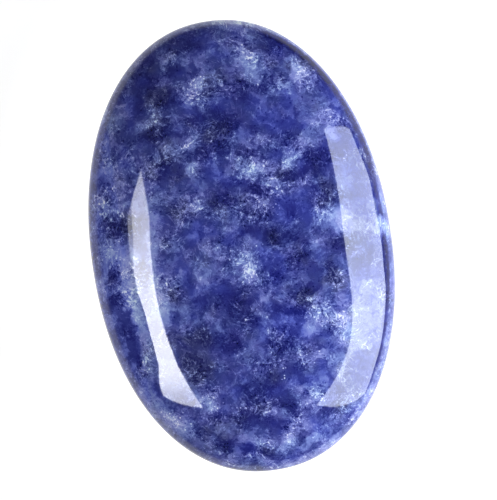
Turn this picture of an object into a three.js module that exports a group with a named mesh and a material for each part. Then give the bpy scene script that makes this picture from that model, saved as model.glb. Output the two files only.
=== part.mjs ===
// A palm stone: one oval pillow of polished blue rock, sized to lie in the hand.
// It is domed above and below a rounded rim, and a small flat spot under it lets it rest.
// Millimetres, +Z up, length along Y. The origin is the middle of the flat spot.
import * as THREE from "three";

// Driving dimensions
const stoneLength = 60;
const stoneWidth = 39.7;
const stoneThickness = 15;
const rimHeight = 7.9; // from the flat spot up to the widest line
const flatSpotShare = 0.27; // the flat spot's length as a share of the stone's

// How full the curves are, where 2 would be a true ellipse: the outline from above, and a section
const outlineFullness = 2.13;
const sectionFullness = 2.2;
const endTaper = 0.0125; // the +Y end is this much narrower than the middle, and the -Y end wider

// What hand polishing leaves: a crown a little off centre, and a rim that isn't quite level
const crownShift = new THREE.Vector2(0.4, -0.7);
const rimWander = 0.2;
const rimWanderTurn = THREE.MathUtils.degToRad(35);

// Mesh fineness
const stepsAround = 112;
const stepsOverCrown = 18;
const stepsUnderRim = 14;

// Half a section: x is the distance from the middle, from 0 to 1 at the rim, and y is the height.
function sectionProfile() {
  const power = 2 / sectionFullness;
  const crownRise = stoneThickness - rimHeight;
  const flatSpotAngle = Math.acos(flatSpotShare ** (1 / power));
  const fullDrop = rimHeight / Math.sin(flatSpotAngle) ** power;
  const profile = [new THREE.Vector2(0, 0)];
  for (let i = 0; i <= stepsUnderRim; i++) {
    const angle = flatSpotAngle * (1 - i / stepsUnderRim);
    profile.push(
      new THREE.Vector2(Math.cos(angle) ** power, rimHeight - fullDrop * Math.sin(angle) ** power),
    );
  }
  for (let i = 1; i < stepsOverCrown; i++) {
    const angle = (Math.PI / 2) * (i / stepsOverCrown);
    profile.push(
      new THREE.Vector2(Math.cos(angle) ** power, rimHeight + crownRise * Math.sin(angle) ** power),
    );
  }
  profile.push(new THREE.Vector2(0, stoneThickness));
  return profile;
}

// Moves a point of the round blank, whose radius is 1, out to the stone's oval.
function shapePoint(point) {
  const share = Math.hypot(point.x, point.y);
  const turn = Math.atan2(point.y, point.x);
  const c = Math.cos(turn);
  const s = Math.sin(turn);
  const reach = (Math.abs(c) ** outlineFullness + Math.abs(s) ** outlineFullness)
    ** (-1 / outlineFullness);
  const along = share * reach * s;
  const across = share * reach * c * (1 - endTaper * along);

  const aboveRim = Math.max(0, point.z - rimHeight) / (stoneThickness - rimHeight);
  const nearRim = share ** 4 * Math.min(1, point.z / rimHeight);
  const wander = rimWander * nearRim * Math.sin(2 * (turn - rimWanderTurn));
  point.set(
    (across * stoneWidth) / 2 + crownShift.x * aboveRim ** 2,
    (along * stoneLength) / 2 + crownShift.y * aboveRim ** 2,
    point.z + wander,
  );
}

// The stone, set so that its outline is centred over the origin.
function stoneGeometry() {
  const blank = new THREE.LatheGeometry(sectionProfile(), stepsAround);
  blank.rotateX(Math.PI / 2);
  const position = blank.getAttribute("position");
  const point = new THREE.Vector3();
  for (let i = 0; i < position.count; i++) {
    point.fromBufferAttribute(position, i);
    shapePoint(point);
    position.setXYZ(i, point.x, point.y, point.z);
  }
  blank.computeBoundingBox();
  const middle = blank.boundingBox.getCenter(new THREE.Vector3());
  blank.translate(-middle.x, -middle.y, 0);
  blank.computeVertexNormals();
  return blank;
}

const polishedBlue = new THREE.MeshStandardMaterial({
  color: new THREE.Color("#3f489c"),
  roughness: 0.12,
  metalness: 0,
});

const stone = new THREE.Mesh(stoneGeometry(), polishedBlue);
stone.name = "stone";

const palmStone = new THREE.Group();
palmStone.add(stone);

export default palmStone;
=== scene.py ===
import math

import bmesh
import bpy
from mathutils import Matrix, Vector, noise


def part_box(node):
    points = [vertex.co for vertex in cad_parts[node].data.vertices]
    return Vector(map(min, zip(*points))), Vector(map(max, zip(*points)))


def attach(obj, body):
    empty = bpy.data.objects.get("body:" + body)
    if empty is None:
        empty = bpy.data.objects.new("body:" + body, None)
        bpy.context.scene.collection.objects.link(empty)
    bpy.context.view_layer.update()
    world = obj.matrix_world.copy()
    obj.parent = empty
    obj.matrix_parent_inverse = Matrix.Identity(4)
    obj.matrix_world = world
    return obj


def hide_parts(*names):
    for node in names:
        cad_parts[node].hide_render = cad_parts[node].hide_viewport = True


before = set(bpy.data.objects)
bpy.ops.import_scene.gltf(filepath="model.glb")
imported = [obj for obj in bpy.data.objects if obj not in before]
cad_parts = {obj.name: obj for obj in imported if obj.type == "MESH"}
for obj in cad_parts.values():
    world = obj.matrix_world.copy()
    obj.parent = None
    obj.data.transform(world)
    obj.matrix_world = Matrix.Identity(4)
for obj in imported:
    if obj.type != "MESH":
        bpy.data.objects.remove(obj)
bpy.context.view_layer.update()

mm = 0.001  # the frame is in metres, and the sizes below are in millimetres
stoneLow, stoneHigh = (Vector(corner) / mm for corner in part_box("stone"))
stoneSize = stoneHigh - stoneLow
print("frame:", [round(side, 2) for side in stoneSize], "mm stone")

# The stone's shape, by the same rule as its solid
stoneShape = {
    "rimHeight": 7.9,  # from the floor up to the widest line
    "outlineFullness": 2.13,  # seen from above, where 2 would be a true ellipse
    "sectionFullness": 2.2,
    "endTaper": 0.0125,
    "flatSpot": 0.27,  # its length as a share of the stone's
    "flatEase": 0.1,  # how deep the flat spot's edge is worn round
    "crownShift": (0.4, -0.7),
    "rimWander": 0.2,
    "rimWanderTurn": 35,  # degrees
    "waves": ((11, 0.016), (3.4, 0.0018)),  # length and height of what hand polishing leaves
    "waveFade": 1.0,  # height over which they fade in above the floor
    "squares": 120,  # along each edge of the cube that is swelled into the stone
    "bakeHalf": (0.24, 0.48),  # half the width and length of the crown in the baked picture, which is 1 by 1
    "bakeSteep": 0.22,  # share of the way out there that follows the height, which gives the steep rim room
}


def ballShares(ball):
    # how far a point of the ball lies out towards the rim, and up or down, on a stone 1 wide, long and high
    outline, section = stoneShape["outlineFullness"], stoneShape["sectionFullness"]
    reach = (abs(ball.x) ** outline + abs(ball.y) ** outline) ** (1 / outline)
    scale = (reach ** section + abs(ball.z) ** section) ** (-1 / section)
    return ball * scale, reach * scale


def wornAbove(height):
    # the height, or 0 under the flat spot's plane, with the corner between them worn round
    ease = stoneShape["flatEase"]
    overlap = max(0, 1 - abs(height) / ease)
    return max(0, height) + overlap * overlap * ease / 4


def stonePoint(ball):
    (across, along, upward), share = ballShares(ball)
    rim, section = stoneShape["rimHeight"], stoneShape["sectionFullness"]
    flatDrop = (1 - stoneShape["flatSpot"] ** section) ** (1 / section)
    height = rim + (stoneSize.z - rim) * upward if upward > 0 else wornAbove(rim + rim * upward / flatDrop)
    crown = max(0, upward) ** 2
    turn = math.atan2(along, across) - math.radians(stoneShape["rimWanderTurn"])
    wander = stoneShape["rimWander"] * share ** 4 * min(1, height / rim) * math.sin(2 * turn)
    return Vector((
        across * (1 - stoneShape["endTaper"] * along) * stoneSize.x / 2 + stoneShape["crownShift"][0] * crown,
        along * stoneSize.y / 2 + stoneShape["crownShift"][1] * crown,
        height + wander,
    ))


def bakePlace(ball, onCrown):
    # lays the crown out flat on the left half of the baked picture, and the underside on the right half
    shares, share = ballShares(ball)
    steep = stoneShape["bakeSteep"]
    fromMiddle = (1 - steep) * share + steep * (1 - abs(shares.z))
    flat = shares.xy * (fromMiddle / max(share, 1e-6))
    halfWidth, halfLength = stoneShape["bakeHalf"]
    return (0.25 if onCrown else 0.75) + halfWidth * flat.x, 0.5 + halfLength * flat.y


def makeStone():
    # a cube of even squares swelled into a ball has no poles where faces would crowd
    body = bmesh.new()
    bmesh.ops.create_cube(body, size=2)
    bmesh.ops.subdivide_edges(body, edges=body.edges[:], cuts=stoneShape["squares"] - 1, use_grid_fill=True)
    for vertex in body.verts:
        vertex.co = Vector([math.tan(part * math.pi / 4) for part in vertex.co]).normalized()
    places = body.loops.layers.uv.new("OFBake")
    for face in body.faces:
        face.smooth = True
        onCrown = face.calc_center_median().z > 0
        for corner in face.loops:
            corner[places].uv = bakePlace(corner.vert.co, onCrown)

    for vertex in body.verts:
        vertex.co = stonePoint(vertex.co)
    body.normal_update()
    for vertex in body.verts:
        wave = sum(height * noise.noise(vertex.co / length) for length, height in stoneShape["waves"])
        vertex.co += vertex.normal * wave * min(1, vertex.co.z / stoneShape["waveFade"])

    # its outline is centred over the middle of the solid's
    cadMiddle = (stoneLow + stoneHigh) / 2
    shift = Vector((0, 0, stoneLow.z))
    for axis in (0, 1):
        side = [vertex.co[axis] for vertex in body.verts]
        shift[axis] = cadMiddle[axis] - (min(side) + max(side)) / 2
    bmesh.ops.translate(body, verts=body.verts, vec=shift)
    bmesh.ops.scale(body, verts=body.verts, vec=(mm, mm, mm))
    mesh = bpy.data.meshes.new("polishedStone")
    body.to_mesh(mesh)
    body.free()
    piece = bpy.data.objects.new("polishedStone", mesh)
    bpy.context.scene.collection.objects.link(piece)
    return piece


polishedStone = makeStone()
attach(polishedStone, "root")
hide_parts("stone")
print("stone:", len(polishedStone.data.polygons), "faces")


class Socket:
    # a node's output that can stand in a sum, which adds the Math nodes
    def __init__(self, recipe, output):
        self.recipe, self.output = recipe, output

    def also(self, output):
        # another output of the same node
        return Socket(self.recipe, self.output.node.outputs[output])

    def __add__(self, other):
        return self.recipe.maths("ADD", self, other)

    def __sub__(self, other):
        return self.recipe.maths("SUBTRACT", self, other)

    def __rsub__(self, other):
        return self.recipe.maths("SUBTRACT", other, self)

    def __mul__(self, other):
        return self.recipe.maths("MULTIPLY", self, other)

    __radd__, __rmul__ = __add__, __mul__


class Recipe:
    # the nodes of one material, or of the world
    def __init__(self, owner):
        owner.use_nodes = True
        self.tree = owner.node_tree
        self.tree.nodes.clear()

    def node(self, kind, settings, sockets, output=0):
        # settings are set first, and then come the values or links of its sockets
        made = self.tree.nodes.new(kind)
        for name, value in settings.items():
            if name == "stops":
                ramp = made.color_ramp
                while len(ramp.elements) < len(value):
                    ramp.elements.new(1)
                for element, (position, colour) in zip(ramp.elements, value):
                    element.position, element.color = position, colour
            else:
                setattr(made, name, value)
        for name, value in sockets.items():
            if isinstance(value, Socket):
                self.tree.links.new(value.output, made.inputs[name])
            else:
                made.inputs[name].default_value = value
        return Socket(self, made.outputs[output]) if made.outputs else None

    def maths(self, operation, *values):
        return self.node("ShaderNodeMath", {"operation": operation}, dict(enumerate(values)))

    def vector(self, operation, *values):
        return self.node("ShaderNodeVectorMath", {"operation": operation}, dict(enumerate(values)))

    def scaled(self, vector, factor):
        return self.node("ShaderNodeVectorMath", {"operation": "SCALE"}, {"Vector": vector, "Scale": factor})

    def parts(self, vector):
        # a place's x, y and z, or a colour's red, green and blue
        first = self.node("ShaderNodeSeparateXYZ", {}, {"Vector": vector})
        return first, first.also("Y"), first.also("Z")

    def millimetres(self):
        # the place on the object, which keeps to it where it moves
        return self.scaled(self.node("ShaderNodeTexCoord", {}, {}, "Object"), 1 / mm)

    def mix(self, share, first, second):
        # the numbers are the Mix node's own sockets for colours
        settings = {"data_type": "RGBA", "clamp_factor": True}
        return self.node("ShaderNodeMix", settings, {0: share, 6: first, 7: second}, 2)

    def between(self, value, low, high, toLow=0.0, toHigh=1.0):
        # eases from one value to another while the first runs from low to high
        return self.node(
            "ShaderNodeMapRange",
            {"interpolation_type": "SMOOTHSTEP"},
            {"Value": value, "From Min": low, "From Max": high, "To Min": toLow, "To Max": toHigh},
        )

    def nearness(self, place):
        # 1 where the place is zero, and less further off, to 0 from a distance of 1 on
        return self.node("ShaderNodeTexGradient", {"gradient_type": "SPHERICAL"}, {"Vector": place}, 1)

    def grain(self, place, size, detail=2.0, roughness=0.5, colour=False):
        # noise whose largest lumps are about this many millimetres across
        sockets = {"Vector": place, "Scale": 1 / size, "Detail": detail, "Roughness": roughness}
        return self.node("ShaderNodeTexNoise", {}, sockets, 1 if colour else 0)

    def sway(self, place, *noise):
        # the same noise, above and below 0
        return self.grain(place, *noise) - 0.5


def linearTone(code, haze=0.0, light=1.0):
    # the shader's colour for a six-figure code, by the sRGB curve, less the haze that the gloss will add
    parts = [int(code[i:i + 2], 16) / 255 for i in (0, 2, 4)]
    linear = [part / 12.92 if part <= 0.04045 else ((part + 0.055) / 1.055) ** 2.4 for part in parts]
    return (*[max(0.0, part - haze) * light for part in linear], 1.0)


# The clouds in the rock: millimetres right of and above the stone's middle as it lies in the picture,
# length and width in millimetres, turn in degrees, and strength
paleClouds = (
    (12.1, 3.8, 3.2, 1.6, -20, 0.35),
    (14.4, 2.5, 3.0, 1.2, -30, 0.4),
    (1.4, 23.6, 3.8, 2.8, -40, 0.85),
    (7.6, 22.7, 3.2, 2.6, -30, 1.15),
    (1.2, 27.4, 2.2, 1.6, 0, 0.75),
    (-6.3, 20.3, 4.2, 1.7, 80, 0.65),
    (-5.2, 21.6, 2.6, 1.4, 20, 0.55),
    (10.2, 16.6, 3.4, 2.4, 10, 0.95),
    (12.0, 15.2, 2.4, 2.0, 0, 0.5),
    (9.3, 13.8, 2.4, 1.8, 0, 0.65),
    (6.2, 10.9, 2.6, 1.8, 60, 1.0),
    (1.5, 10.1, 4.0, 2.2, 5, 0.75),
    (-2.0, 9.6, 3.0, 1.8, 80, 0.25),
    (-6.4, 10.3, 2.6, 1.3, 0, 0.5),
    (-16.2, 8.5, 1.9, 1.6, 0, 0.6),
    (-18.0, 10.4, 2.8, 1.8, 90, 0.4),
    (-12.0, 10.3, 2.2, 2.0, 0, 0.35),
    (-8.8, 12.6, 2.6, 1.8, -20, 0.6),
    (-6.8, 13.6, 3.2, 1.4, 80, 0.35),
    (3.3, 13.5, 2.0, 1.6, 0, 0.35),
    (0.7, 14.5, 1.8, 2.4, 0, 0.45),
    (2.9, 5.9, 2.4, 1.4, -25, 0.6),
    (4.2, 7.7, 3.0, 1.5, -40, 0.85),
    (-5.8, 5.6, 3.4, 2.6, 30, 0.4),
    (-10.0, 1.8, 2.4, 2.0, 0, 0.3),
    (-1.5, 2.4, 5.0, 1.3, 60, 0.4),
    (10.7, 3.6, 3.0, 2.0, 0, 0.65),
    (14.2, 3.7, 4.2, 1.8, -40, 0.8),
    (17.6, 5.4, 2.6, 1.6, 60, 0.5),
    (10.8, 0.6, 2.4, 1.3, 0, 0.6),
    (6.4, 20.0, 5.0, 3.6, 0, 0.25),
    (1.0, -3.4, 2.6, 1.8, 20, 1.3),
    (0.7, -1.2, 3.8, 2.2, 60, 0.6),
    (-5.0, -4.4, 3.2, 2.0, 70, 0.5),
    (4.3, -6.8, 4.8, 1.6, 5, 0.5),
    (6.9, -5.0, 2.6, 1.0, 35, 0.4),
    (10.4, -7.1, 2.4, 1.8, 0, 1.05),
    (12.8, -9.2, 3.0, 1.6, -25, 0.7),
    (10.0, -9.4, 2.8, 2.2, 0, 0.75),
    (9.3, -11.0, 2.2, 1.3, 0, 0.6),
    (3.2, -9.8, 2.4, 1.5, 80, 0.4),
    (3.4, -12.3, 4.0, 2.6, -20, 0.3),
    (-2.8, -10.6, 2.0, 1.0, -30, 0.6),
    (-7.3, -7.8, 2.2, 1.4, 0, 0.4),
    (9.9, -14.5, 2.0, 1.3, 20, 1.0),
    (9.4, -19.6, 3.8, 3.2, 20, 0.6),
    (-1.3, -14.1, 1.1, 0.9, 0, 0.5),
    (6.3, -25.2, 2.4, 1.6, 70, 0.75),
    (3.2, -26.2, 4.4, 1.4, -8, 0.6),
    (9.0, -24.4, 3.8, 2.2, 20, 0.5),
    (11.6, -25.7, 3.0, 1.6, 40, 0.55),
    (4.0, -21.6, 3.6, 1.0, -15, 0.35),
    (-9.2, -22.6, 2.8, 1.2, -40, 0.4),
    (-16.4, -1.6, 3.6, 3.0, 0, 0.75),
    (-15.0, -5.4, 2.8, 2.4, 80, 0.85),
    (-14.0, -8.5, 4.0, 2.2, -45, 1.4),
    (-13.0, -11.4, 3.8, 1.6, -60, 0.6),
    (-10.2, -8.0, 4.4, 2.2, -75, 1.4),
    (-11.3, -2.4, 5.0, 1.2, -80, 0.6),
    (-11.4, 2.2, 7.0, 1.6, 92, 0.65),
    (-18.2, 8.0, 6.0, 2.0, 85, 0.4),
    (-17.2, 13.6, 4.0, 2.4, 65, 0.3),
    (-17.6, 4.4, 3.0, 2.4, 90, 0.3),
    (12.8, -6.2, 3.0, 2.0, 80, 0.45),
    (16.6, -9.0, 9.0, 2.8, 86, 0.85),
    (13.4, -12.8, 5.6, 2.6, 74, 0.75),
    (18.3, 3.2, 3.8, 1.8, 90, 1.0),
    (12.8, 3.3, 3.2, 2.8, 0, 0.7),
    (-2.5, 29.2, 4.0, 1.3, 5, 0.55),
    (-16.8, 16.8, 3.4, 2.6, 60, 0.55),
    (-14.4, 12.4, 2.6, 2.0, 0, 0.4),
    (5.8, -9.9, 2.2, 1.4, 0, 0.5),
    (13.2, -4.0, 2.6, 2.4, 0, 0.6),
    (13.9, -8.8, 3.6, 2.2, 85, 0.75),
    (11.0, -5.5, 1.6, 1.2, 0, 0.5),
    (13.2, -16.4, 3.2, 2.6, 60, 0.5),
    (9.4, -16.4, 2.0, 1.6, 0, 0.4),
    (9.6, -21.2, 2.8, 1.6, 0, 0.8),
    (-4.2, -20.1, 3.0, 1.4, -10, 0.45),
    (-6.8, -24.2, 2.8, 1.8, -10, 0.65),
    (2.3, -25.0, 3.2, 1.6, -5, 0.75),
    (-12.6, -14.8, 2.2, 2.0, 0, 0.55),
    (15.4, -21.4, 4.4, 2.0, 50, 0.75),
    (2.0, -28.5, 10.0, 1.4, 0, 0.5),
    (-14.9, -2.3, 2.6, 2.2, 80, 0.75),
    (-3.2, -5.8, 2.2, 1.4, 0, 0.45),
    (-18.0, -5.0, 5.0, 1.4, 95, 0.4),
    (14.6, -19.4, 3.0, 1.8, 50, 0.5),
    (11.6, 18.4, 2.6, 2.2, 0, 0.25),
    (14.3, 16.0, 3.2, 1.6, -45, 0.3),
    (-15.4, 15.6, 3.0, 2.0, 60, 0.25),
    (5.6, 20.4, 2.0, 1.6, 0, 0.5),
    (5.0, 27.6, 4.0, 1.4, -25, 0.35),
    (10.6, 9.6, 1.8, 1.6, 0, 0.5),
    (-10.9, -5.2, 3.4, 1.7, -80, 0.65),
    (-11.2, -20.8, 4.0, 1.8, -45, 0.9),
    (-6.2, -19.3, 3.0, 1.8, -40, 0.7),
    (-9.0, -23.6, 3.4, 1.8, -38, 0.5),
    (-2.4, -27.2, 5.6, 1.4, -8, 0.35),
    (6.6, -23.6, 2.6, 2.0, 60, 0.4),
    (6.4, -17.8, 1.8, 1.4, 0, 0.5),
    (18.8, -8.6, 3.6, 1.2, 90, 0.45),
    (-16.9, -9.8, 4.6, 1.4, -76, 0.5),
    (-14.6, -16.2, 4.2, 1.6, -62, 0.5),
    (2.2, -7.4, 1.8, 1.4, 0, 0.4),
    (-7.6, -10.2, 1.8, 1.2, 0, 0.4),
    (-1.4, 24.2, 3.6, 2.6, 0, 0.22),
    (-1.7, 11.8, 1.6, 1.4, 0, 0.3),
    (-12.2, 8.0, 2.0, 1.5, 0, 0.35),
    (-16.8, 9.6, 2.4, 1.6, 0, 0.3),
    (-13.8, 15.0, 3.4, 1.6, 0, 0.25),
    (13.2, 2.4, 2.6, 1.5, 0, 0.4),
    (8.4, 15.6, 1.8, 1.3, 0, 0.3),
    (11.4, 19.4, 2.0, 1.5, 0, 0.35),
    (-3.4, 2.8, 2.2, 1.5, 0, 0.25),
    (-18.2, 0.4, 3.6, 1.5, 92, 0.45),
    (8.3, -11.5, 2.4, 1.5, 10, 0.4),
    (10.9, -16.8, 2.2, 1.6, 60, 0.35),
    (-4.6, -20.8, 3.4, 1.4, -30, 0.35),
    (-8.0, -12.2, 3.4, 1.8, 80, 0.2),
    (6.6, -26.8, 3.0, 1.2, 12, 0.2),
    (14.6, -13.8, 2.6, 2.0, 80, 0.35),
    (1.0, -25.0, 2.2, 1.2, 0, 0.25),
    (-5.2, -6.0, 1.8, 1.3, 0, 0.25),
    (5.6, 24.6, 2.0, 1.6, 0, 0.3),
    (0.6, 13.2, 1.5, 1.8, 0, 0.25),
    (-12.2, 5.6, 1.6, 2.0, 0, 0.25),
    (1.6, 28.2, 3.6, 1.6, -10, 0.3),
    (-17.6, -2.8, 4.0, 1.4, 85, 0.4),
    (-14.2, -7.9, 2.2, 1.5, 0, 0.35),
    (6.9, -18.6, 1.6, 1.6, 0, 0.35),
    (-6.6, -24.0, 3.2, 1.6, -20, 0.3),
    (15.0, -11.4, 4.4, 2.4, 80, 0.6),
    (13.4, 10.0, 4.0, 1.8, 100, 0.3),
    (19.0, 2.6, 3.4, 1.6, -10, 1.2),
    (15.8, -6.0, 3.5, 2.4, 86, 0.35),
    (-8.4, -22.6, 5.0, 3.0, -38, 0.4),
    (-3.4, -21.2, 4.0, 1.8, -10, 0.3),
    (-5.0, -26.0, 4.0, 2.0, -20, 0.35),
    (-13.4, -6.2, 4.0, 1.6, -70, 0.35),
    (-12.4, -15.6, 3.6, 1.4, -68, 0.4),
    (-10.6, -2.4, 2.6, 1.8, 0, 0.4),
    (13.4, -15.2, 1.8, 1.2, 60, 0.5),
    (13.0, -10.8, 2.4, 1.2, 20, 0.4),
    (8.0, -26.0, 4.4, 1.4, 24, 0.4),
    (7.4, -20.6, 1.4, 1.0, 0, 0.4),
    (0.4, 9.0, 1.8, 1.6, 0, 0.35),
    (6.8, 11.8, 1.2, 1.0, 0, 0.4),
    (-12.6, 15.0, 4.4, 1.8, 0, 0.35),
    (-12.4, 7.6, 1.4, 2.4, 0, 0.5),
    (-16.6, 6.0, 3.0, 3.0, 0, 0.3),
    (-11.8, 1.6, 1.4, 2.8, 0, 0.4),
    (-9.2, 24.2, 3.0, 1.4, 0, 0.35),
    (3.0, 24.4, 3.6, 1.6, -60, 0.4),
    (7.2, 26.0, 3.0, 1.4, -40, 0.5),
    (-2.4, 28.6, 3.0, 1.2, 0, 0.4),
    (-1.4, -3.0, 1.6, 1.0, 0, 0.3),
)
darkClouds = (
    (-9.9, 19.0, 2.4, 1.8, 60, 1.0),
    (-8.9, 22.9, 2.4, 1.0, -10, 0.9),
    (-12.2, 22.0, 4.0, 2.8, 60, 0.9),
    (-13.2, 18.6, 3.0, 1.9, 80, 0.7),
    (-6.3, 26.6, 6.0, 2.8, 15, 0.5),
    (-2.2, 16.3, 3.8, 2.4, 0, 0.85),
    (0.2, 19.0, 2.8, 2.0, 0, 0.7),
    (-5.0, 17.3, 3.0, 2.0, 0, 0.6),
    (-11.6, 13.8, 4.0, 2.2, 10, 0.7),
    (-9.0, 9.8, 3.2, 2.0, 10, 0.75),
    (-15.2, 14.8, 2.4, 1.8, 90, 0.45),
    (7.7, 9.6, 4.8, 1.4, 10, 0.95),
    (10.4, 11.6, 3.2, 2.4, 60, 0.65),
    (1.4, 7.3, 3.6, 1.2, -20, 0.8),
    (-2.4, 6.6, 2.8, 2.6, 0, 0.6),
    (4.9, 1.2, 3.8, 1.6, 0, 1.1),
    (7.4, -1.5, 2.2, 1.4, 0, 0.5),
    (12.8, 0.4, 2.0, 1.6, 0, 0.7),
    (-16.2, 2.6, 3.6, 3.4, 0, 0.8),
    (0.6, 1.8, 3.0, 1.6, 10, 0.5),
    (4.6, -3.7, 3.4, 2.4, 80, 0.75),
    (8.8, -5.6, 3.0, 1.6, 20, 0.7),
    (11.6, -4.0, 2.0, 2.0, 0, 0.5),
    (-0.6, -6.6, 3.8, 2.4, -20, 0.9),
    (-1.0, -9.4, 2.8, 2.2, 90, 0.7),
    (-2.2, -12.6, 3.4, 2.4, 0, 0.85),
    (-5.0, -7.6, 2.6, 2.0, 60, 0.6),
    (-6.6, -12.8, 4.2, 3.0, 30, 0.5),
    (-5.4, -16.6, 4.6, 3.4, -60, 0.7),
    (2.2, -18.6, 4.6, 2.6, 0, 0.85),
    (5.6, -17.2, 3.4, 3.0, 0, 0.6),
    (5.8, -20.5, 2.0, 1.5, 0, 0.95),
    (0.0, -22.5, 3.8, 1.8, -10, 0.85),
    (3.8, -23.0, 3.2, 1.6, 0, 0.6),
    (7.9, -24.8, 1.4, 1.2, 0, 0.9),
    (-5.2, -24.5, 3.0, 1.6, -15, 0.7),
    (-2.0, -26.0, 2.6, 1.3, 0, 0.7),
    (4.4, -27.2, 4.0, 0.9, 5, 0.7),
    (-16.6, -3.8, 1.4, 1.3, 0, 0.8),
    (-15.3, -7.2, 2.8, 1.8, -20, 0.75),
    (-17.6, -8.0, 2.2, 1.5, -70, 0.6),
    (-13.6, -14.4, 3.2, 2.0, -70, 0.75),
    (-15.2, -11.8, 2.6, 2.0, -60, 0.6),
    (-11.0, -19.4, 2.6, 1.4, -60, 0.75),
    (6.4, 5.0, 3.2, 2.0, 90, 0.5),
    (-4.0, 1.6, 3.0, 1.6, 0, 0.45),
    (5.4, 14.2, 3.2, 2.8, 0, 0.6),
    (6.0, -8.5, 5.2, 1.2, 0, 0.6),
    (6.2, -12.4, 2.4, 2.2, 0, 0.5),
    (11.2, 22.0, 2.2, 1.6, -50, 0.8),
    (4.4, 26.6, 5.0, 1.4, -20, 0.5),
    (8.4, 24.8, 2.0, 1.4, 0, 0.7),
    (8.4, 11.2, 2.0, 1.6, 0, 0.8),
    (4.3, 12.8, 2.4, 1.7, 0, 0.55),
    (-4.2, 13.4, 2.8, 2.0, 0, 0.8),
    (-2.4, 12.6, 2.0, 1.4, 0, 0.5),
    (2.3, 20.8, 2.2, 1.4, 0, 0.4),
    (4.6, 19.2, 2.6, 2.0, 0, 0.5),
    (-4.2, 19.8, 2.8, 1.8, 0, 0.5),
    (1.7, 14.8, 2.0, 1.6, 0, 0.55),
    (3.4, 4.2, 2.2, 1.3, 0, 0.55),
    (-4.0, 5.4, 2.0, 1.6, 0, 0.5),
    (1.0, -10.2, 3.0, 1.8, 90, 0.8),
    (4.6, -13.2, 3.6, 1.8, -20, 0.8),
    (7.6, -17.0, 3.0, 1.7, -55, 0.5),
    (7.5, -19.6, 2.0, 1.6, 0, 0.65),
    (6.8, -21.2, 4.0, 1.3, 0, 0.7),
    (-2.6, -15.2, 2.8, 1.4, 0, 0.5),
    (-6.4, -4.4, 2.0, 1.4, 0, 0.75),
    (-8.4, -9.6, 2.4, 1.4, 100, 0.5),
    (2.2, -2.8, 2.4, 1.4, 0, 0.55),
    (-8.8, -20.8, 3.6, 1.4, 0, 0.9),
    (16.8, -6.6, 2.2, 2.0, 0, 0.4),
    (-1.6, 14.8, 2.6, 1.7, 0, 0.6),
    (4.8, 11.3, 1.8, 1.4, 0, 0.7),
    (-5.6, 11.9, 2.2, 1.5, 0, 0.6),
    (-3.2, 11.6, 1.8, 1.4, 0, 0.3),
    (1.0, 1.4, 2.2, 1.6, 0, 0.55),
    (-7.0, 25.4, 2.6, 1.8, 0, 0.4),
    (2.0, 26.0, 1.8, 1.2, 0, 0.5),
    (-8.2, 18.8, 1.8, 1.8, 0, 0.6),
    (-1.2, 20.8, 2.2, 1.4, 0, 0.5),
    (-11.4, 21.2, 2.0, 1.8, 0, 0.4),
    (2.6, 21.7, 2.2, 1.4, 0, 0.4),
    (7.2, 11.6, 1.6, 1.2, 0, 0.3),
    (1.0, -26.2, 1.8, 1.0, 0, 0.3),
    (8.2, -22.2, 1.8, 1.2, 0, 0.3),
    (12.0, -9.8, 1.5, 1.1, 0, 0.4),
    (6.6, -15.2, 1.8, 1.4, 0, 0.3),
    (-5.4, 16.2, 2.2, 1.4, 0, 0.35),
    (-8.0, 14.2, 1.8, 1.3, 0, 0.35),
    (2.2, 14.9, 1.8, 1.3, 0, 0.35),
    (-2.2, 6.8, 2.0, 1.6, 0, 0.3),
    (-7.4, 5.4, 1.8, 1.6, 0, 0.3),
    (6.2, -21.6, 2.4, 1.3, 0, 0.3),
    (3.4, -10.4, 1.6, 1.2, 0, 0.3),
    (12.4, -7.6, 1.6, 1.0, 0, 0.4),
    (12.6, -14.2, 1.8, 1.4, 0, 0.3),
    (10.8, -21.6, 1.8, 1.4, 0, 0.6),
    (3.0, -16.0, 2.2, 1.5, 0, 0.5),
    (5.2, -15.0, 2.0, 1.4, 0, 0.3),
    (-3.4, -22.0, 2.2, 1.1, -10, 0.4),
    (1.5, -26.5, 2.2, 1.2, 0, 0.6),
    (8.8, -1.4, 2.2, 1.6, 0, 0.3),
    (16.4, -14.0, 3.0, 2.6, 86, 0.5),
    (11.2, -7.4, 2.6, 2.0, 0, 0.35),
    (12.0, -9.8, 1.2, 0.9, 0, 0.4),
    (8.0, -15.6, 2.4, 1.2, -30, 0.35),
    (7.0, -18.6, 1.2, 1.2, 0, 0.5),
    (2.6, -22.2, 2.4, 1.4, 0, 0.3),
    (6.0, -26.0, 1.2, 0.9, 0, 0.5),
    (0.2, -25.6, 1.6, 1.0, 0, 0.35),
    (-4.6, -2.0, 2.6, 2.0, 0, 0.3),
    (-2.4, 10.2, 1.4, 1.2, 0, 0.45),
    (7.0, 10.8, 2.2, 0.9, 0, 0.35),
    (2.8, 12.6, 1.8, 1.4, 0, 0.3),
    (-5.4, 15.6, 2.0, 1.4, 0, 0.35),
    (-6.4, 22.6, 1.2, 1.6, 0, 0.4),
    (4.8, 22.2, 3.0, 1.4, -20, 0.35),
    (-11.2, 4.8, 1.2, 2.4, 0, 0.35),
    (-16.0, -7.4, 1.8, 1.6, 0, 0.5),
    (4.4, -6.6, 1.4, 1.0, 0, 0.3),
    (-8.8, -8.4, 1.8, 1.4, 0, 0.3),
)

# Where the rock is smooth and its grain hardly shows
calmClouds = (
    (16.8, -8.0, 14.0, 4.2, 86, 1.8),
    (15.8, 8.0, 12.0, 3.8, 100, 1.4),
    (14.4, -17.0, 7.0, 4.4, 60, 1.2),
    (15.4, 3.4, 3.6, 3.0, 0, 0.9),
)

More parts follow.
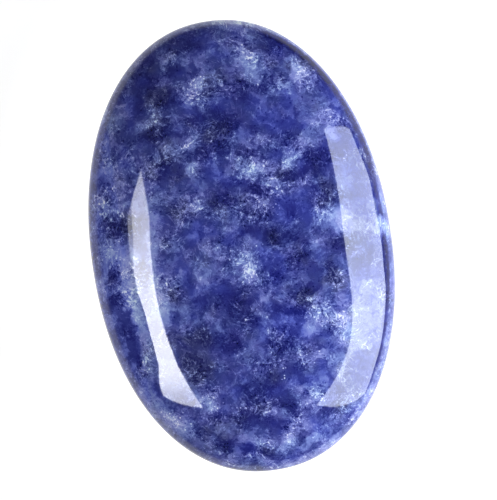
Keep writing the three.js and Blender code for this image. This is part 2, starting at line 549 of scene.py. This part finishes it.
# Where fine flecks and strokes are many, or few where the last number is below 0
fleckClouds = (
    (3.8, 17.7, 9.0, 3.6, 0, -0.9),
    (9.6, 15.8, 5.0, 4.0, 0, -0.9),
    (-6.8, -0.8, 6.0, 4.5, 80, -0.9),
    (-5.0, -14.9, 4.6, 4.0, 0, -0.8),
    (3.5, 8.0, 8.0, 6.0, 0, 0.8),
    (-1.7, 8.7, 5.0, 4.0, 0, 0.5),
    (11.5, 1.4, 4.0, 4.0, 0, 0.8),
    (6.4, 0.7, 5.0, 5.0, 0, 0.6),
    (1.8, -3.5, 4.5, 4.0, 0, 0.7),
    (-2.1, -4.8, 4.0, 3.0, 0, 0.6),
    (7.1, -14.1, 7.0, 6.0, 0, 0.7),
    (-1.5, -16.4, 5.0, 4.0, 0, 0.3),
)

# Where small bright grains crowd, which are partly white crystals and partly painted glints
grainAndGlintClouds = (
    (3.1, 5.2, 4.0, 1.8, -20, 1.2),
    (2.6, -0.6, 3.0, 2.0, 0, 0.9),
    (5.6, -16.5, 4.0, 2.4, 0, 1.3),
    (1.0, -21.4, 4.4, 2.4, 0, 1.2),
    (-1.2, -14.2, 1.6, 1.2, 0, 1.3),
    (-8.0, -23.2, 5.0, 2.6, -38, 1.2),
    (-4.2, -20.7, 4.0, 2.0, -10, 1.0),
    (-5.7, 21.7, 4.0, 1.8, 10, 1.0),
    (6.4, 11.0, 4.0, 2.4, 0, 0.8),
    (-6.2, 10.2, 3.4, 1.8, 0, 0.8),
    (1.2, -3.4, 3.4, 2.6, 0, 0.9),
    (10.0, -8.6, 4.4, 3.4, 0, 0.9),
    (9.6, -14.6, 3.0, 2.0, 0, 1.0),
    (-12.4, -14.6, 3.0, 2.4, 0, 0.8),
)

# Where the blue leans to slate, or to royal blue with a strength below 0
slateClouds = (
    (-8.4, -18.8, 4.0, 2.6, 60, 1.0),
    (-15.0, -6.8, 4.0, 2.8, 60, -1.4),
    (-9.9, 19.0, 4.0, 4.0, 0, 1.2),
    (-11.6, 13.4, 6.0, 4.0, 10, 1.0),
    (-9.0, 9.8, 5.0, 3.0, 10, 1.0),
    (-7.0, 11.5, 4.0, 3.0, 0, 0.6),
    (-6.6, -12.8, 7.0, 6.0, 30, 0.9),
    (-5.4, -16.6, 6.0, 4.0, -60, 0.5),
    (-15.6, 2.4, 6.0, 5.0, 0, 0.6),
    (5.0, 1.0, 5.0, 3.0, 0, 1.0),
    (11.6, -4.5, 4.0, 4.0, 0, 0.9),
    (8.6, -5.8, 4.0, 2.6, 20, 0.8),
    (12.2, 0.6, 4.0, 3.0, 0, 0.8),
    (3.0, -12.8, 4.0, 3.0, 0, 0.7),
    (5.8, -20.6, 3.0, 2.4, 0, 0.5),
    (-13.6, -14.6, 4.0, 3.0, -60, 0.6),
    (-0.4, 21.0, 5.0, 4.0, 0, 0.4),
    (6.2, 23.4, 3.0, 3.0, 0, 0.6),
    (5.2, 14.6, 6.0, 5.0, 30, -0.9),
    (3.2, 18.0, 5.0, 3.0, 0, -0.6),
    (7.4, 4.6, 6.0, 5.0, 90, -0.7),
    (4.4, -3.8, 6.0, 5.0, 80, -1.0),
    (7.0, -9.0, 8.0, 4.0, 0, -0.7),
    (6.0, -13.0, 6.0, 5.0, 0, -0.9),
    (8.6, -20.0, 5.0, 5.0, 0, -0.6),
    (-4.0, 1.4, 7.0, 4.0, 0, -0.6),
    (-7.4, 18.6, 4.0, 4.0, 0, -0.5),
    (1.4, -8.4, 5.0, 4.0, 0, -0.4),
    (12.6, 19.0, 5.0, 5.0, 0, -0.6),
)

# A tone is 0 where the rock is darkest and 1 where it is palest. A noise is given by the size of its lumps in
# millimetres, its detail and its roughness. A range is where a change starts and where it ends, and then what
# it changes from and to, if that isn't 0 and 1
rockLook = {
    "pictureTurn": 9.15,  # degrees that the stone's far end leans left in the picture
    "cloudSpread": 0.85,  # how far a cloud's edge fades out, as a share of its length and width
    "seamSlant": (0.55, -0.4),  # how far the clouds run sideways for each mm down into the underside
    # lumps that push the pattern about, and by how many millimetres at most
    "bend": {"noise": (6.0, 1, 0.5), "reach": 0.9},
    "fray": {"noise": (1.7, 4, 0.6), "reach": 1.6},  # more of it, for the clouds, crystals and flakes
    "curl": {"noise": (2.2, 1, 0.5), "reach": 1.0},  # more of it, for the strokes
    "cloudNoise": (9.0, 2, 0.9),  # pale and dark areas besides the clouds
    "cloudNoiseStrength": 1.6,
    "calmRim": (0.9, 0.97, 0, 0.85),  # the rock is smooth near the rim too, where the outline is at 1
    "fleckNoise": (3.2, 2.5),
    "fleckCloudShare": 0.16,
    "busy": (0.39, 0.65, 0.24, 2.05),  # how strong the fine marks are, by both
    "largeCrystals": {"size": 2.4, "tone": 0.07},
    "smallCrystals": {"size": 1.0, "tone": 0.05},
    "flakes": {
        "kinds": ((2.6, 0.12, 0.13), (1.3, 0.12, 0.09)),  # size, tone, and where their soft edge ends
        "smallKind": (0.75, 0.09, 0.07),  # whose tone grows where the fine marks are strong
        "edgeStart": -0.02,
        "noise": (2.5, 0.6),  # detail and roughness
        "cover": 0.18,  # how much they close up in a cloud of strength 1
        "shift": (31, 17, 5),  # how many sizes away the noise is read, so that no kind repeats another
    },
    # the fine marks: what they add to the tone everywhere, where their peaks are, and what those add
    "grit": {"noise": (0.45, 2, 0.8), "tone": 0.35, "peaks": (0.1, 0.24), "peakTone": 0.15},
    "needles": {"size": (1.2, 0.3), "tone": 0.19, "peaks": (0.06, 0.18), "peakTone": 0.15},
    "cracks": {"size": (0.8, 0.3), "tone": 0.0, "peaks": (0.05, 0.2), "peakTone": -0.15},
    "strokes": {  # needles, cracks and fibres, whose sizes are their length and width
        "axis": (0.15, 0.1, 1),  # what they turn about
        "depth": 1.6,  # in widths
        "noise": (1.0, 2, 0.7),  # its size is in their lengths and widths
    },
    "fibres": {
        "crystals": 4.5,  # size of those that they lie along
        "size": (2.6, 0.22),
        "peaks": (0.06, 0.2),
        "patches": (3.6, 1),
        "shown": (0.44, 0.6),
    },
    "veins": {
        "kinds": ((3.2, 0.012), (1.7, 0.016)),  # size of their bends, and width as a share of the noise
        "noise": (2, 0.6),  # detail and roughness
        "patchDetail": 1,
        "shown": (0.5, 0.64),
        "shift": (7, 3, 0),  # in sizes, as for the flakes
    },
    "mottle": {"noise": (1.0, 3, 0.75), "shift": (40, 20, 10)},  # of the smooth rock
    # what the tone is made of, where the rock is rough and where it is smooth: its base, and how much of the
    # others is added, with the fine marks set about their own middle first
    "rough": {"base": 0.35, "cover": 0.18, "fineMiddle": 0.05, "veins": 0.2},
    "smooth": {
        "base": 0.26,
        "cover": 0.08,
        "flakes": 0.85,
        "mottle": 0.4,
        "veins": 0.3,
        "fine": 0.6,
        "most": 0.85,  # how smooth the rock gets
    },
    # painted light and shade at the rim: a paler lit band, a dark line of painted shade inside it, and a thin
    # pale line of painted reflection
    "rim": {
        "upperEnd": (4, 10),  # mm along the stone
        "darkStart": (0.92, 0.935),  # where the outline is at 1
        "darkStartShift": 0.02,  # how much further out it is at the upper end
        "darkEnd": (0.95, 0.965, 1, 0),
        "darkEndShift": 0.024,
        "darkInCloud": (0.5, 1.3, 1, 0.1),  # by the strength of the clouds there
        "darkSide": (13, 17),  # mm to the right
        "darkSideShift": 8,  # how many mm less far at the upper end
        "darkLineShadeTone": 0.24,
        "litStart": (0.955, 0.97),
        "litTowards": (0.8, -0.4),  # mm that way for each mm to the right and along the stone
        "litSide": (9, 16),
        "litEnd": (22, 29, 0, 0.25),  # mm along the stone
        "litTone": 0.19,
        "lineStart": (0.97, 0.984),
        "lineHeight": (5.5, 7.5),  # mm above the floor
        "lineSide": (-16, 4, 0.35, 1),  # mm to the right
        "paleLineLightTone": 0.28,
    },
    # bright grains, partly painted glints, and dark pits of painted shade
    "grains": {
        "size": 0.42,
        "patches": (2.4, 2),  # a noise, of where they show besides the clouds
        "patchShown": (0.5, 0.66, 0, 0.2),
        "crowd": (0.1, 1),
        "disc": (0.14, 0.3, 1, 0),  # as a share of the size, from a grain's middle out
        "picked": (0.4, 0.7),  # of all grains, by a number from 0 to 1 that each one has
        "tone": 0.6,
        "pitDisc": (0.16, 0.4, 1, 0),  # and the same for small dark pits
        "pitPicked": (0.06, 0.22, 1, 0),
        "pitShadeTone": 0.22,
    },
    "tones": (
        (0.00, "141848"),  # ink
        (0.20, "252864"),  # indigo
        (0.38, "3a407c"),  # denim
        (0.54, "565e9a"),  # dusky blue
        (0.72, "7a84ba"),  # cornflower
        (0.90, "a6b2d4"),  # pale blue
        (1.00, "d4dce0"),  # frost
    ),
    "light": 0.88,  # base colours are these tones times this
    "haze": 0.006,  # what the gloss adds to every tone, which is taken off first
    # what the tone's colour is multiplied by: slate where the lean is 1, royal where it is -1, and one of the
    # other two where it is 0
    "slate": (1.14, 1.06, 0.76, 1),
    "royal": (0.86, 0.90, 1.18, 1),
    "violet": (1.05, 0.97, 1.01, 1),
    "steel": (0.96, 1.02, 1.0, 1),
    "steelNoise": (2.8, 2),
    "steelShown": (0.38, 0.62),
    "lean": {
        "clouds": 0.8,
        "noise": (3.4, 2),
        "noiseStrength": 4,
        "inPale": (0.42, 0.7, 1, 0.3),  # by the tone
        "smooth": (0.3, 1),
        "smoothByTone": (0.38, 0.6, -0.9, 1.1),
        "leftRim": (-15.3, -14.6, 1, 0),  # mm to the right
        "leftRimLean": -0.8,
        "inPalest": (0.64, 0.8, 1, 0.35),
    },
    "ior": 1.6,  # of the polish, with its roughness
    "roughnessNoise": (1.2, 3, 0.8),
    "roughness": (0.3, 0.7, 0.025, 0.06),
    "finishNoise": (0.6, 2, 0.7),
    "finishDepth": 0.001,  # mm, of what the last polish leaves
}


def cloudField(rock, place, clouds):
    # 0 where there is no cloud, and about each cloud's strength in its middle
    lean, spread = math.radians(rockLook["pictureTurn"]), rockLook["cloudSpread"]
    total = 0.0
    for right, up, length, width, turn, strength in clouds:
        middle = (
            right * math.cos(lean) + up * math.sin(lean),
            up * math.cos(lean) - right * math.sin(lean),
            0,
        )
        spot = rock.node("ShaderNodeMapping", {"vector_type": "TEXTURE"}, {
            "Vector": place,
            "Location": middle,
            "Rotation": (0, 0, math.radians(turn) - lean),
            "Scale": (length * spread, width * spread, 1),
        })
        total = rock.maths("MULTIPLY_ADD", rock.nearness(spot), strength, total)
    return total


def pushed(rock, place, start, look):
    # the start, pushed about by lumps that are read at the place
    lumps = rock.grain(place, *look["noise"], colour=True)
    push = rock.vector("SUBTRACT", lumps, (0.5, 0.5, 0.5))
    return rock.vector("ADD", start, rock.scaled(push, 2 * look["reach"]))


def crystals(rock, place, size):
    # crystals about this many millimetres across: how far out from its middle a place is, and for each
    # crystal two numbers of its own from 0 to 1
    distance = rock.node("ShaderNodeTexVoronoi", {}, {"Vector": place, "Scale": 1 / size})
    first, second, _ = rock.parts(distance.also("Color"))
    return distance, first, second


def strokes(rock, place, turn, size):
    # short strokes that lie as the crystal under them does
    look, (length, width) = rockLook["strokes"], size
    turned = rock.node("ShaderNodeVectorRotate", {"rotation_type": "AXIS_ANGLE"}, {
        "Vector": place,
        "Axis": look["axis"],
        "Angle": turn * math.pi,
    })
    stretched = rock.node("ShaderNodeMapping", {"vector_type": "TEXTURE"}, {
        "Vector": turned,
        "Scale": (length, width, width * look["depth"]),
    })
    return rock.sway(stretched, *look["noise"])


def elsewhere(rock, place, shift, size=1):
    # another part of a noise, so that two patterns made by it differ
    return rock.vector("ADD", place, [size * step for step in shift])


def flakeTone(rock, frayed, cover, busy):
    # flakes of three sizes, which close up in the clouds and thin out between them
    look = rockLook["flakes"]
    smallSize, smallTone, smallEdge = look["smallKind"]
    total = 0.0
    for size, tone, edgeEnd in (*look["kinds"], (smallSize, busy * smallTone, smallEdge)):
        lumps = rock.sway(elsewhere(rock, frayed, look["shift"], size), size, *look["noise"])
        lumps = lumps + cover * look["cover"]
        total = rock.maths("MULTIPLY_ADD", rock.between(lumps, look["edgeStart"], edgeEnd), tone, total)
    return total


def fineTone(rock, place, curled, largeTurn, smallTurn):
    # grit, pale needles and dark cracks, each strongest at its peaks
    grit = rock.sway(place, *rockLook["grit"]["noise"])
    needles = strokes(rock, curled, largeTurn, rockLook["needles"]["size"])
    cracks = strokes(rock, curled, smallTurn, rockLook["cracks"]["size"])
    total = 0.0
    for name, marks in (("grit", grit), ("needles", needles), ("cracks", cracks)):
        look = rockLook[name]
        total = marks * look["tone"] + rock.between(marks, *look["peaks"]) * look["peakTone"] + total
    return total


def veinTone(rock, place, bent, frayed, curled):
    # long fibres here and there, and thin pale veins, which break off and start again
    look = rockLook["fibres"]
    _, turn, _ = crystals(rock, frayed, look["crystals"])
    fibres = rock.between(strokes(rock, curled, turn, look["size"]), *look["peaks"])
    total = fibres * rock.between(rock.grain(place, *look["patches"]), *look["shown"])
    look = rockLook["veins"]
    for size, width in look["kinds"]:
        wandering = rock.sway(elsewhere(rock, bent, look["shift"], size), size, *look["noise"])
        line = rock.between(rock.maths("ABSOLUTE", wandering), 0, width, 1, 0)
        shown = rock.between(rock.grain(place, size, look["patchDetail"]), *look["shown"])
        total = rock.maths("MULTIPLY_ADD", line, shown, total)
    return total


def outlineShare(rock, place):
    # how far out towards the rim, where the outline is at 1
    across, along, _ = rock.parts(rock.vector("ABSOLUTE", rock.vector("DIVIDE", place, stoneSize / 2)))
    fullness = stoneShape["outlineFullness"]
    reach = rock.maths("POWER", across, fullness) + rock.maths("POWER", along, fullness)
    return rock.maths("POWER", reach, 1 / fullness)


def paintedRimLightAndShade(rock, place, outward, cover):
    # painted light and shade: the rim is painted paler where light would come through it, most on the side
    # card's side, and a dark line of painted shade, standing in for a dark reflection, runs inside it
    look = rockLook["rim"]
    sideways, lengthways, height = rock.parts(place)
    upperEnd = rock.between(lengthways, *look["upperEnd"])
    dark = rock.between(outward - upperEnd * look["darkStartShift"], *look["darkStart"])
    dark = dark * rock.between(outward - upperEnd * look["darkEndShift"], *look["darkEnd"])
    dark = dark * rock.between(cover, *look["darkInCloud"])
    dark = dark * rock.between(sideways + upperEnd * look["darkSideShift"], *look["darkSide"])
    rightShare, upShare = look["litTowards"]
    lit = rock.between(sideways * rightShare + lengthways * upShare, *look["litSide"])
    lit = (lit + rock.between(lengthways, *look["litEnd"])) * rock.between(outward, *look["litStart"])
    # a thin pale line of painted reflected light follows the outline of the upper end
    line = rock.between(outward, *look["lineStart"]) * upperEnd * rock.between(height, *look["lineHeight"])
    line = line * rock.between(sideways, *look["lineSide"])
    return lit * look["litTone"] + line * look["paleLineLightTone"] - dark * look["darkLineShadeTone"]


def grainAndGlintTone(rock, place, seam):
    # bright grains in clusters, partly white crystals and partly painted glints, and small dark pits of
    # painted shade
    look = rockLook["grains"]
    distance, pick, _ = crystals(rock, place, look["size"])
    crowd = cloudField(rock, seam, grainAndGlintClouds)
    crowd = crowd + rock.between(rock.grain(place, *look["patches"]), *look["patchShown"])
    grain = rock.between(distance, *look["disc"]) * rock.between(pick, *look["picked"])
    grain = grain * rock.between(crowd, *look["crowd"])
    paintedPitShade = rock.between(distance, *look["pitDisc"]) * rock.between(pick, *look["pitPicked"])
    return grain * look["tone"] - paintedPitShade * look["pitShadeTone"]


def blueOf(rock, place, bent, seam, quiet, tone):
    # the tone's own colour, leant to slate or to royal blue
    tones = [
        (position, linearTone(code, rockLook["haze"], rockLook["light"]))
        for position, code in rockLook["tones"]
    ]
    colour = rock.node("ShaderNodeValToRGB", {"stops": tones}, {"Fac": tone})
    look = rockLook["lean"]
    lean = cloudField(rock, seam, slateClouds) * look["clouds"]
    lean = lean + rock.sway(place, *look["noise"]) * look["noiseStrength"]
    lean = lean * rock.between(tone, *look["inPale"])
    # where it is smooth the pale rock is whiter and the dark rock a deeper blue, as all of the left rim is
    sideways, _, _ = rock.parts(place)
    leftRim = rock.between(sideways, *look["leftRim"])
    smoothLean = rock.between(quiet, *look["smooth"]) * rock.between(tone, *look["smoothByTone"])
    lean = lean + smoothLean * (1 - leftRim) + leftRim * look["leftRimLean"]
    lean = lean * rock.between(tone, *look["inPalest"])  # the palest grains are white

    steel = rock.between(rock.grain(bent, *rockLook["steelNoise"]), *rockLook["steelShown"])
    tint = rock.mix(steel, rockLook["violet"], rockLook["steel"])
    tint = rock.mix(rock.between(lean, 0, 1), tint, rockLook["slate"])
    tint = rock.mix(rock.between(lean, 0, -1), tint, rockLook["royal"])
    return rock.vector("MULTIPLY", colour, tint)


def paintRock(material):
    rock, look = Recipe(material), rockLook
    place = rock.millimetres()
    bent = pushed(rock, place, place, look["bend"])
    frayed = pushed(rock, place, bent, look["fray"])
    curled = pushed(rock, place, bent, look["curl"])

    # the clouds slant on their way down the underside, and the fraying moves them only sideways
    _, _, height = rock.parts(place)
    under = rock.maths("MAXIMUM", stoneShape["rimHeight"] - height, 0)
    slantX, slantY = look["seamSlant"]
    slant = rock.node("ShaderNodeCombineXYZ", {}, {"X": under * slantX, "Y": under * slantY})
    seam = rock.vector("MULTIPLY", rock.vector("ADD", frayed, slant), (1, 1, 0))

    cover = cloudField(rock, seam, paleClouds) - cloudField(rock, seam, darkClouds)
    cover = cover + rock.sway(bent, *look["cloudNoise"]) * look["cloudNoiseStrength"]
    quiet = cloudField(rock, seam, calmClouds)
    outward = outlineShare(rock, place)
    calm = rock.between(quiet + rock.between(outward, *look["calmRim"]), 0, 1)
    fleckiness = cloudField(rock, seam, fleckClouds) * look["fleckCloudShare"]
    busy = rock.between(rock.grain(place, *look["fleckNoise"]) + fleckiness, *look["busy"])

    _, largeTone, largeTurn = crystals(rock, frayed, look["largeCrystals"]["size"])
    _, smallTone, smallTurn = crystals(rock, frayed, look["smallCrystals"]["size"])
    flakes = flakeTone(rock, frayed, cover, busy)
    fine = fineTone(rock, place, curled, largeTurn, smallTurn)
    veins = veinTone(rock, place, bent, frayed, curled)
    shares = look["rough"]
    rough = shares["base"] + cover * shares["cover"] + flakes + veins * shares["veins"]
    rough = rough + (fine - shares["fineMiddle"]) * busy
    rough = rough + (largeTone - 0.5) * look["largeCrystals"]["tone"]
    rough = rough + (smallTone - 0.5) * look["smallCrystals"]["tone"]

    shares = look["smooth"]
    mottle = rock.sway(elsewhere(rock, frayed, look["mottle"]["shift"]), *look["mottle"]["noise"])
    smooth = shares["base"] + cover * shares["cover"] + flakes * shares["flakes"]
    smooth = smooth + mottle * shares["mottle"] + veins * shares["veins"] + fine * shares["fine"]
    tone = rough + (smooth - rough) * calm * shares["most"]
    tone = tone + paintedRimLightAndShade(rock, place, outward, cover) + grainAndGlintTone(rock, place, seam) * (1 - calm)

    finish = rock.grain(place, *look["finishNoise"])
    rock.node("ShaderNodeOutputMaterial", {}, {
        "Surface": rock.node("ShaderNodeBsdfPrincipled", {}, {
            "Base Color": blueOf(rock, place, bent, seam, quiet, tone),
            "Roughness": rock.between(rock.grain(place, *look["roughnessNoise"]), *look["roughness"]),
            "IOR": look["ior"],
            "Normal": rock.node("ShaderNodeBump", {}, {
                "Height": finish,
                "Strength": 1,
                "Distance": look["finishDepth"] * mm,
            }),
        }),
    })


polishedRock = bpy.data.materials.new("polishedRock")
paintRock(polishedRock)
polishedStone.data.materials.append(polishedRock)
print("rock:", len(polishedRock.node_tree.nodes), "nodes")

# The table it lies on, whose paper glows with a light of its own, strongest near the stone: a painted pool of
# light
tableLook = {
    "size": 4.0,  # metres
    "colour": "918f8b",
    "glow": 0.72,
    "reach": 170,  # mm from the stone's middle, where the light has fallen off
    "fullFrom": 0.65,  # how near it is full, if the stone's middle is 1 and the reach is 0
    "farShare": 0.5,  # of its colour and glow that are left beyond
    "rimReach": 16,  # mm from the stone's outline, within which the paper glows brighter still, a painted pool of light
    "rimFullFrom": 0.3,
    "rimGlow": 0.45,
}


def makeTable():
    half = tableLook["size"] / 2
    corners = [(-half, -half, 0), (half, -half, 0), (half, half, 0), (-half, half, 0)]
    mesh = bpy.data.meshes.new("table")
    mesh.from_pydata(corners, [], [range(len(corners))])
    table = bpy.data.objects.new("table", mesh)
    bpy.context.scene.collection.objects.link(table)

    glowingTablePaper = bpy.data.materials.new("glowingTablePaper")
    paper = Recipe(glowingTablePaper)
    place = paper.millimetres()
    # the paper's colour and glow fall off away from the stone, a painted pool of light
    near = paper.nearness(paper.scaled(place, 1 / tableLook["reach"]))
    share = paper.between(near, 0, tableLook["fullFrom"], tableLook["farShare"], 1)
    # close to the stone it is overexposed, which draws a pale line along the rim
    rimOval = [side / 2 + tableLook["rimReach"] for side in stoneSize]
    close = paper.nearness(paper.vector("DIVIDE", place, rimOval))
    glow = share + paper.between(close, 0, tableLook["rimFullFrom"], 0, tableLook["rimGlow"])
    surface = paper.node("ShaderNodeBsdfPrincipled", {}, {
        "Base Color": paper.scaled(linearTone(tableLook["colour"])[:3], share),
        "Specular IOR Level": 0,
        "Emission Color": glow,
        "Emission Strength": tableLook["glow"],
    })
    paper.node("ShaderNodeOutputMaterial", {}, {"Surface": surface})
    mesh.materials.append(glowingTablePaper)


makeTable()
print("table: laid")

# Light cards stand round the stone, each facing it. A card's outline is in millimetres sideways and upwards,
# as the stone sees it from this far away in the direction that its degrees give, and its brightness changes
# along it, from place to place sideways
cardDistance = 300
lightCards = {
    "windowCard": {
        "azimuth": -172,
        "elevation": 50,
        "tint": (0.98, 1.0, 1.05),
        "brightness": (
            (-100, 6.0), (-50, 8.8), (-5, 13.6), (45, 15.4), (80, 15.0), (110, 9.0), (140, 8.0),
        ),
        "outline": (
            (-105, 50), (-90, 57), (-55, 64), (-10, 46), (20, 42), (70, 42), (140, 52), (115, -85),
            (95, -68), (65, -22), (40, -11), (10, -7), (-10, -14), (-25, -14), (-50, 5), (-80, 12),
        ),
    },
    "windowEdge": {
        "azimuth": -172,
        "elevation": 50,
        "tint": (0.98, 1.0, 1.05),
        "brightness": ((-80, 3.0), (-20, 4.5)),
        "outline": ((-80, 12), (-50, 5), (-25, -14), (-40, -18), (-70, -8)),
    },
    "sideCard": {
        "azimuth": -12,
        "elevation": 27,
        "tint": (0.92, 1.0, 1.15),
        "brightness": (
            (-200, 6.4), (-110, 7.2), (-60, 8.2), (-20, 8.0), (60, 6.5), (95, 6.8), (160, 5.1),
        ),
        "outline": (
            (160, 135), (105, 144), (45, 150), (25, 148), (-20, 128), (-45, 122), (-70, 123), (-110, 145),
            (-200, 210), (-170, -148), (-110, -128), (-70, -145), (5, -143), (30, -115), (50, -118),
            (75, -105), (95, -108), (120, -128), (160, -90), (190, -95),
        ),
    },
}


def makeLightCard(name, look):
    azimuth, elevation = math.radians(look["azimuth"]), math.radians(look["elevation"])
    outward = Vector((
        math.cos(azimuth) * math.cos(elevation),
        math.sin(azimuth) * math.cos(elevation),
        math.sin(elevation),
    ))
    sideways = Vector((0, 0, 1)).cross(outward).normalized()
    facing = Matrix((sideways, outward.cross(sideways), outward)).transposed().to_4x4()
    corners = [(right * mm, up * mm, 0) for right, up in look["outline"]]
    mesh = bpy.data.meshes.new(name)
    mesh.from_pydata(corners, [], [range(len(corners))])
    card = bpy.data.objects.new(name, mesh)
    card.matrix_world = Matrix.Translation(outward * cardDistance * mm) @ facing
    card.visible_camera = False
    bpy.context.scene.collection.objects.link(card)

    glowing = bpy.data.materials.new(name)
    sheet = Recipe(glowing)
    across, _, _ = sheet.parts(sheet.millimetres())
    start, span = look["brightness"][0][0], look["brightness"][-1][0] - look["brightness"][0][0]
    peak = max(bright for _, bright in look["brightness"])
    stops = [
        ((right - start) / span, (*[part * bright / peak for part in look["tint"]], 1))
        for right, bright in look["brightness"]
    ]
    shade = sheet.node("ShaderNodeValToRGB", {"stops": stops}, {"Fac": (across - start) * (1 / span)})
    surface = sheet.node("ShaderNodeEmission", {}, {"Color": shade, "Strength": peak})
    sheet.node("ShaderNodeOutputMaterial", {}, {"Surface": surface})
    mesh.materials.append(glowing)


for name, look in lightCards.items():
    makeLightCard(name, look)

# The air round them is a dim grey, brighter at the horizon
airLook = {"overhead": 0.08, "horizon": 0.2, "horizonFade": 0.12}


def lightAir():
    world = bpy.data.worlds.new("studioAir")
    bpy.context.scene.world = world
    air = Recipe(world)
    _, _, rise = air.parts(air.node("ShaderNodeTexCoord", {}, {}, "Generated"))
    glow = air.between(rise, 0, airLook["horizonFade"], airLook["horizon"], airLook["overhead"])
    lit = air.node("ShaderNodeBackground", {}, {"Color": (1, 1, 1, 1), "Strength": glow})
    air.node("ShaderNodeOutputWorld", {}, {"Surface": lit})


lightAir()
print("lights:", ", ".join(lightCards))

# The camera looks straight down on the crown
photoView = {
    "lens": 200,  # mm
    "pixelsPerMm": 7.565,  # at the height of the rim
    "longSide": 500,  # pixels
    "aside": (0.97, -0.58),  # mm that the picture's middle lies right of and above the stone's
}


def makeCamera():
    camera = bpy.data.cameras.new("photoCamera")
    camera.lens = photoView["lens"]
    holder = bpy.data.objects.new("photoCamera", camera)
    bpy.context.scene.collection.objects.link(holder)
    span = photoView["longSide"] / photoView["pixelsPerMm"]
    distance = camera.lens / camera.sensor_width * span
    lean = Matrix.Rotation(-math.radians(rockLook["pictureTurn"]), 4, "Z")
    aside = Vector((*photoView["aside"], stoneShape["rimHeight"] + distance)) * mm
    holder.matrix_world = lean @ Matrix.Translation(aside)
    bpy.context.scene.camera = holder


makeCamera()
bpy.context.scene.view_settings.view_transform = "Standard"
print("camera: set")
